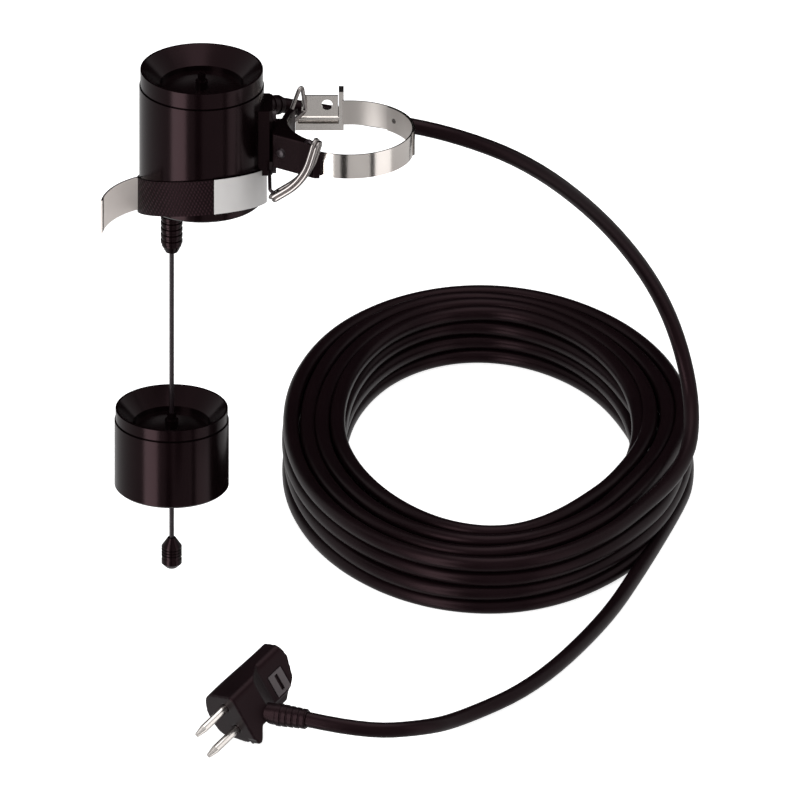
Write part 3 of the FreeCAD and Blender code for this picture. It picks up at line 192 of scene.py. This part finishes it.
def speckled(name, colour, deep, roughness, spread, grain, bump, **sockets):
    """A surface whose colour and gloss vary a little, with a fine grain in its bump.

    The roughness goes from itself less the spread to itself plus the spread."""
    material, nodes, links, shader = new_material(name)
    place = add_node(nodes, "ShaderNodeTexCoord")
    cloud = add_node(nodes, "ShaderNodeTexNoise", Scale=grain * CLOUD_SHARE, Detail=3.0)
    fine = add_node(nodes, "ShaderNodeTexNoise", Scale=grain, Detail=2.0)
    links.new(place.outputs["Object"], cloud.inputs["Vector"])
    links.new(place.outputs["Object"], fine.inputs["Vector"])
    tint = add_node(nodes, "ShaderNodeValToRGB")
    for stop, edge, shade in zip(tint.color_ramp.elements, CLOUD_EDGES, (deep, colour)):
        stop.position = edge
        stop.color = (*shade, 1)
    links.new(cloud.outputs["Fac"], tint.inputs["Fac"])
    links.new(tint.outputs["Color"], shader.inputs["Base Color"])
    gloss = add_node(nodes, "ShaderNodeMapRange")
    gloss.inputs["To Min"].default_value = roughness - spread
    gloss.inputs["To Max"].default_value = roughness + spread
    links.new(cloud.outputs["Fac"], gloss.inputs["Value"])
    links.new(gloss.outputs["Result"], shader.inputs["Roughness"])
    relief = add_node(nodes, "ShaderNodeBump", Strength=bump, Distance=GRAIN_DEPTH)
    links.new(fine.outputs["Fac"], relief.inputs["Height"])
    links.new(relief.outputs["Normal"], shader.inputs["Normal"])
    for key, value in sockets.items():
        shader.inputs[key.replace("_", " ")].default_value = value
    return material


black_plastic = speckled("black_plastic", (0.0036, 0.0015, 0.0019), (0.0024, 0.001, 0.0013), 0.2, 0.04, 900,
                         0.06, Specular_IOR_Level=0.14, Specular_Tint=PLUM)
dark_metal = speckled("dark_metal", (0.02, 0.012, 0.015), (0.012, 0.007, 0.009), 0.32, 0.06, 1500, 0.1,
                      Metallic=0.5)
inner_plastic = speckled("inner_plastic", (0.03, 0.03, 0.034), (0.02, 0.02, 0.024), 0.5, 0.06, 900, 0.1)
rubber = speckled("rubber", (0.013, 0.008, 0.0095), (0.009, 0.0055, 0.0065), 0.55, 0.08, 1200, 0.2,
                  Specular_IOR_Level=0.12, Specular_Tint=PLUM)
cord_sheath = speckled("cord_sheath", (0.0055, 0.0023, 0.0031), (0.0036, 0.0015, 0.0021), 0.36, 0.05, 700,
                       0.08, Specular_IOR_Level=0.12, Specular_Tint=PLUM)
wire_steel = speckled("wire_steel", (0.3, 0.275, 0.265), (0.2, 0.18, 0.175), 0.16, 0.04, 1400, 0.06,
                      Metallic=1.0)
steel = speckled("steel", (0.66, 0.62, 0.59), (0.55, 0.515, 0.485), 0.2, 0.05, 1400, 0.06, Metallic=1.0)
band_steel = speckled("band_steel", (0.66, 0.615, 0.58), (0.57, 0.525, 0.495), 0.16, 0.03, 900, 0.04,
                      Metallic=1.0)
band_inside = speckled("band_inside", (0.6, 0.56, 0.53), (0.54, 0.5, 0.475), 0.5, 0.05, 900, 0.04,
                       Metallic=1.0)
brass = speckled("brass", (0.65, 0.5, 0.25), (0.5, 0.38, 0.18), 0.3, 0.05, 1200, 0.05, Metallic=1.0)
socket_grey = speckled("socket_grey", (0.085, 0.065, 0.07), (0.06, 0.045, 0.05), 0.45, 0.05, 900, 0.1)
label_film = speckled("label_film", (0.70, 0.68, 0.67), (0.62, 0.60, 0.59), 0.4, 0.06, 700, 0.05)
# The strap's pale back is its own colour, and its faint emission is a painted glow, not a lamp.
pale_back_painted_glow = speckled("pale_back_painted_glow", (0.84, 0.77, 0.73), (0.75, 0.68, 0.64), 0.42, 0.06, 1100, 0.1,
                      Emission_Color=(0.9, 0.82, 0.78, 1), Emission_Strength=0.12)


def woven(name, colour, deep, pitch):
    """A dark strap whose threads cross on two slants."""
    material, nodes, links, shader = new_material(name)
    place = add_node(nodes, "ShaderNodeTexCoord")
    crossed = add_node(nodes, "ShaderNodeMath", operation="MULTIPLY")
    for side, slant in enumerate(WEAVE_SLANTS):
        turn = add_node(nodes, "ShaderNodeMapping")
        turn.inputs["Rotation"].default_value = (0, math.radians(slant), 0)
        threads = add_node(nodes, "ShaderNodeTexWave", bands_direction="X", Scale=WAVES_PER_SCALE / pitch,
                           Distortion=0.5, Detail=1.0)
        links.new(place.outputs["Object"], turn.inputs["Vector"])
        links.new(turn.outputs["Vector"], threads.inputs["Vector"])
        links.new(threads.outputs["Fac"], crossed.inputs[side])
    tint = add_node(nodes, "ShaderNodeValToRGB")
    tint.color_ramp.elements[0].color = (*deep, 1)
    tint.color_ramp.elements[1].color = (*colour, 1)
    links.new(crossed.outputs["Value"], tint.inputs["Fac"])
    links.new(tint.outputs["Color"], shader.inputs["Base Color"])
    relief = add_node(nodes, "ShaderNodeBump", Strength=0.6, Distance=WEAVE_DEPTH)
    links.new(crossed.outputs["Value"], relief.inputs["Height"])
    links.new(relief.outputs["Normal"], shader.inputs["Normal"])
    shader.inputs["Roughness"].default_value = 0.5
    shader.inputs["Specular IOR Level"].default_value = 0.12
    shader.inputs["Specular Tint"].default_value = PLUM
    return material


strap_weave = woven("strap_weave", (0.024, 0.0105, 0.014), (0.0022, 0.001, 0.0013), 0.0015)

finishes = {
    black_plastic: ["housing_body", "housing_cap", "rod_gland", "rod_end_stop", "float_shell", "float_cap",
                    "side_plate", "block_end_plate"],
    inner_plastic: ["switch_carrier", "microswitch"],
    rubber: ["cap_seal", "gland_seal", "float_stop"],
    dark_metal: ["float_rod", "plate_screws", "block_rivet", "ring_hook", "ring_boss"],
    steel: ["switch_lever", "switch_screws", "rod_collar", "band_rivet", "clasp_pin", "clasp_bracket",
            "clasp_lever", "plug_pin_upper", "plug_pin_lower"],
    wire_steel: ["split_ring", "triangle_link"],
    band_steel: ["clamp_band", "band_outer_strip"],
    brass: ["switch_terminals"],
    cord_sheath: ["cord_strain_relief", "plug_strain_relief"],
    socket_grey: ["plug_socket_face"],
    label_film: ["strap_label"],
    strap_weave: ["wrap_strap"],
}
for material, names in finishes.items():
    for name in names:
        mesh = frame["nodes"][name].data
        mesh.materials.clear()
        mesh.materials.append(material)
lead_curve.materials.append(cord_sheath)

# The free tail of the strap shows its pale back to the viewer, with a faint painted glow on it. It is what
# lies outside the hoop.
HOUSING_MIDDLE = Vector((-0.071, 0))
HOOP_RADIUS = 0.0311
TAIL_FRONT = -0.0034
FORWARD = -0.2
strap = frame["nodes"]["wrap_strap"]
strap.data.materials.append(pale_back_painted_glow)
turn = strap.matrix_world.to_3x3()
for face in strap.data.polygons:
    middle = strap.matrix_world @ face.center
    facing = turn @ face.normal
    if facing.y < FORWARD and middle.y < TAIL_FRONT and (middle.xy - HOUSING_MIDDLE).length > HOOP_RADIUS:
        face.material_index = 1

# The inner side of the clamp's band is matt, and its cut edges are dark.
EDGE_SLOPE = 0.7
INWARD = -0.5
for name in ("clamp_band", "band_outer_strip"):
    band = frame["nodes"][name]
    band.data.materials.append(band_inside)
    band.data.materials.append(wire_steel)
    turn = band.matrix_world.to_3x3()
    for face in band.data.polygons:
        middle = band.matrix_world @ face.center
        facing = turn @ face.normal
        if abs(facing.z) > EDGE_SLOPE:
            face.material_index = 2
        elif facing.xy.dot(middle.xy) < INWARD * middle.xy.length:
            face.material_index = 1


# The two mouldings whose edges are widely rounded. The plug has its own frame, with its pins towards -back.
PLUG_CORNER = Vector((-0.051, -0.1816, -0.2331))
PLUG_ACROSS = Vector((0.618, -0.749, 0.239))
PLUG_BACK = Vector((0.652, 0.6575, 0.3785))
PLUG_UP = Vector((-0.4406, -0.0781, 0.8946))
PLUG_HEIGHT = 0.0265
PLUG_HALF_WIDTH = 0.0097
# How far its left side bulges, its heel rises behind the foot and its sole sinks beside the foot.
PLUG_BELLY = 0.0085
PLUG_HEEL = 0.0065
PLUG_SOLE = 0.0024
# The bulge begins this share of the height below the foot, and takes this share of it to its upper end.
BELLY_FOOT = 0.25
BELLY_RISE = 1.3


def past(value, start, width):
    """0 up to the start, 1 from the start plus the width on, and a soft rise between them."""
    return smooth_step((value - start) / width)


def before(value, start, width):
    """The same the other way round: 1 up to the start, then softly down to 0."""
    return 1 - past(value, start, width)


def fuller_plug(point):
    """Where a point of the plug goes: its left side and sole are fuller at the pins, and its heel rises."""
    place = point - PLUG_CORNER
    right, back, up = place.dot(PLUG_ACROSS), place.dot(PLUG_BACK), place.dot(PLUG_UP)
    height = min(max((up / PLUG_HEIGHT + BELLY_FOOT) / BELLY_RISE, 0.0), 1.0)
    belly = (PLUG_BELLY * math.sin(math.pi * height) * past(-right, 0, PLUG_HALF_WIDTH)
             * before(back, 0.008, 0.03))
    heel = PLUG_HEEL * past(right, 0.001, 0.003) * past(back, 0.003, 0.006) * before(up, -0.0034, 0.01)
    sole = (PLUG_SOLE * past(right, -0.008, 0.008) * before(right, 0.0015, 0.0035)
            * before(up, -0.001, 0.006) * before(back, 0.004, 0.012))
    return point - PLUG_ACROSS * belly + PLUG_UP * (heel - sole)


def soft_moulding(name, node, finish, grain, rounds, shaping=None):
    """A moulding with rounded edges in place of a node's sharp ones.

    The grain is the size of its even mesh, and more rounds make it softer."""
    shape = bmesh.new()
    shape.from_mesh(frame["nodes"][node].data)
    shape.transform(frame["nodes"][node].matrix_world)
    bmesh.ops.remove_doubles(shape, verts=shape.verts, dist=1e-6)
    mesh = bpy.data.meshes.new(name)
    shape.to_mesh(mesh)
    shape.free()
    rough = bpy.data.objects.new(name + "_rough", mesh)
    bpy.context.scene.collection.objects.link(rough)
    skin = rough.modifiers.new("even_skin", "REMESH")
    skin.mode = "VOXEL"
    skin.voxel_size = grain
    softer = rough.modifiers.new("soft_edges", "SMOOTH")
    softer.factor = 0.5
    softer.iterations = rounds
    finished = bpy.data.meshes.new_from_object(rough.evaluated_get(bpy.context.evaluated_depsgraph_get()))
    bpy.data.objects.remove(rough)
    if shaping:
        for vertex in finished.vertices:
            vertex.co = shaping(vertex.co)
    for face in finished.polygons:
        face.use_smooth = True
    finished.materials.clear()
    finished.materials.append(finish)
    piece = bpy.data.objects.new(name, finished)
    bpy.context.scene.collection.objects.link(piece)
    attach(piece, "switch")
    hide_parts(node)
    return piece


plug_moulding = soft_moulding("plug_moulding", "plug_body", cord_sheath, 0.00045, 14,
                              fuller_plug)
soft_moulding("block_moulding", "clamp_block", black_plastic, 0.0003, 4)

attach(lead, "switch")
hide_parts("cord_run_upper", "cord_coil", "cord_run_lower")


# Floor, world and lamps.
def panel(name, size, place, look_at, power):
    """A soft rectangular lamp turned towards a point."""
    data = bpy.data.lights.new(name, "AREA")
    data.shape = "RECTANGLE"
    data.size, data.size_y = size
    data.energy = power
    lamp = bpy.data.objects.new(name, data)
    lamp.location = place
    aim = Vector(look_at) - Vector(place)
    lamp.rotation_euler = aim.to_track_quat("-Z", "Y").to_euler()
    bpy.context.scene.collection.objects.link(lamp)


panel("key_left", (0.8, 3.2), (-1.15, -1.15, -0.35), (0, 0, -0.35), 42)
panel("fill_right", (1.3, 3.2), (1.35, -0.85, -0.35), (0, 0, -0.35), 12)
panel("top", (1.6, 1.6), (0.1, 0.1, 1.7), (0.05, 0.05, -0.1), 14)

world = bpy.data.worlds.new("studio")
world.use_nodes = True
bpy.context.scene.world = world
sky = world.node_tree.nodes["Background"]
path_kind = world.node_tree.nodes.new("ShaderNodeLightPath")
# The world's strength where the camera sees it, where a mirror shows it, and in the light that it spreads.
SEEN, MIRRORED, SPREAD = 1.0, 0.7, 0.28
sums = [world.node_tree.nodes.new("ShaderNodeMath") for _ in range(2)]
for step in sums:
    step.operation = "MULTIPLY_ADD"
world.node_tree.links.new(path_kind.outputs["Is Camera Ray"], sums[0].inputs[0])
sums[0].inputs[1].default_value = SEEN - SPREAD
sums[0].inputs[2].default_value = SPREAD
world.node_tree.links.new(path_kind.outputs["Is Glossy Ray"], sums[1].inputs[0])
sums[1].inputs[1].default_value = MIRRORED - SPREAD
world.node_tree.links.new(sums[0].outputs[0], sums[1].inputs[2])
world.node_tree.links.new(sums[1].outputs[0], sky.inputs["Strength"])
sky.inputs["Color"].default_value = (1, 1, 1, 1)

card_paint, _, _, shader = new_material("card_paint")
shader.inputs["Base Color"].default_value = (0.01, 0.008, 0.009, 1)
shader.inputs["Specular IOR Level"].default_value = 0.0


def dark_card(name, width, height, place):
    """A dark board that only mirrors show. It faces the middle of the scene."""
    shape = bmesh.new()
    bmesh.ops.create_grid(shape, x_segments=1, y_segments=1, size=0.5,
                          matrix=Matrix.Diagonal((width, height, 1, 1)))
    mesh = bpy.data.meshes.new(name)
    shape.to_mesh(mesh)
    shape.free()
    card = bpy.data.objects.new(name, mesh)
    card.location = place
    card.rotation_euler = Vector((-place[0], -place[1], 0)).to_track_quat("Z", "Y").to_euler()
    bpy.context.scene.collection.objects.link(card)
    mesh.materials.append(card_paint)
    card.visible_camera = card.visible_diffuse = card.visible_shadow = False


dark_card("card_front", 0.23, 3.0, (-0.187, -1.05, -0.3))
dark_card("card_right", 0.2, 3.0, (0.75, -0.85, -0.3))
dark_card("card_back", 3.0, 2.2, (0.0, 1.6, 0.9))

# The floor is white to the camera and takes only the faintest shadow.
FLOOR_GAP = 0.0004
floor_shape = bmesh.new()
bmesh.ops.create_grid(floor_shape, x_segments=1, y_segments=1, size=3.0,
                      matrix=Matrix.Translation((0, 0, FLOOR - FLOOR_GAP)))
floor_mesh = bpy.data.meshes.new("floor")
floor_shape.to_mesh(floor_mesh)
floor_shape.free()
floor = bpy.data.objects.new("floor", floor_mesh)
bpy.context.scene.collection.objects.link(floor)
floor_paint, nodes, links, shader = new_material("floor_paint")
shader.inputs["Base Color"].default_value = (0.9, 0.9, 0.9, 1)
shader.inputs["Roughness"].default_value = 0.9
shader.inputs["Specular IOR Level"].default_value = 0.1
floor_path = nodes.new("ShaderNodeLightPath")
links.new(floor_path.outputs["Is Camera Ray"], shader.inputs["Emission Strength"])
shader.inputs["Emission Color"].default_value = (0.85, 0.85, 0.85, 1)
floor_mesh.materials.append(floor_paint)
floor.visible_glossy = False

bpy.context.scene.view_settings.view_transform = "Standard"
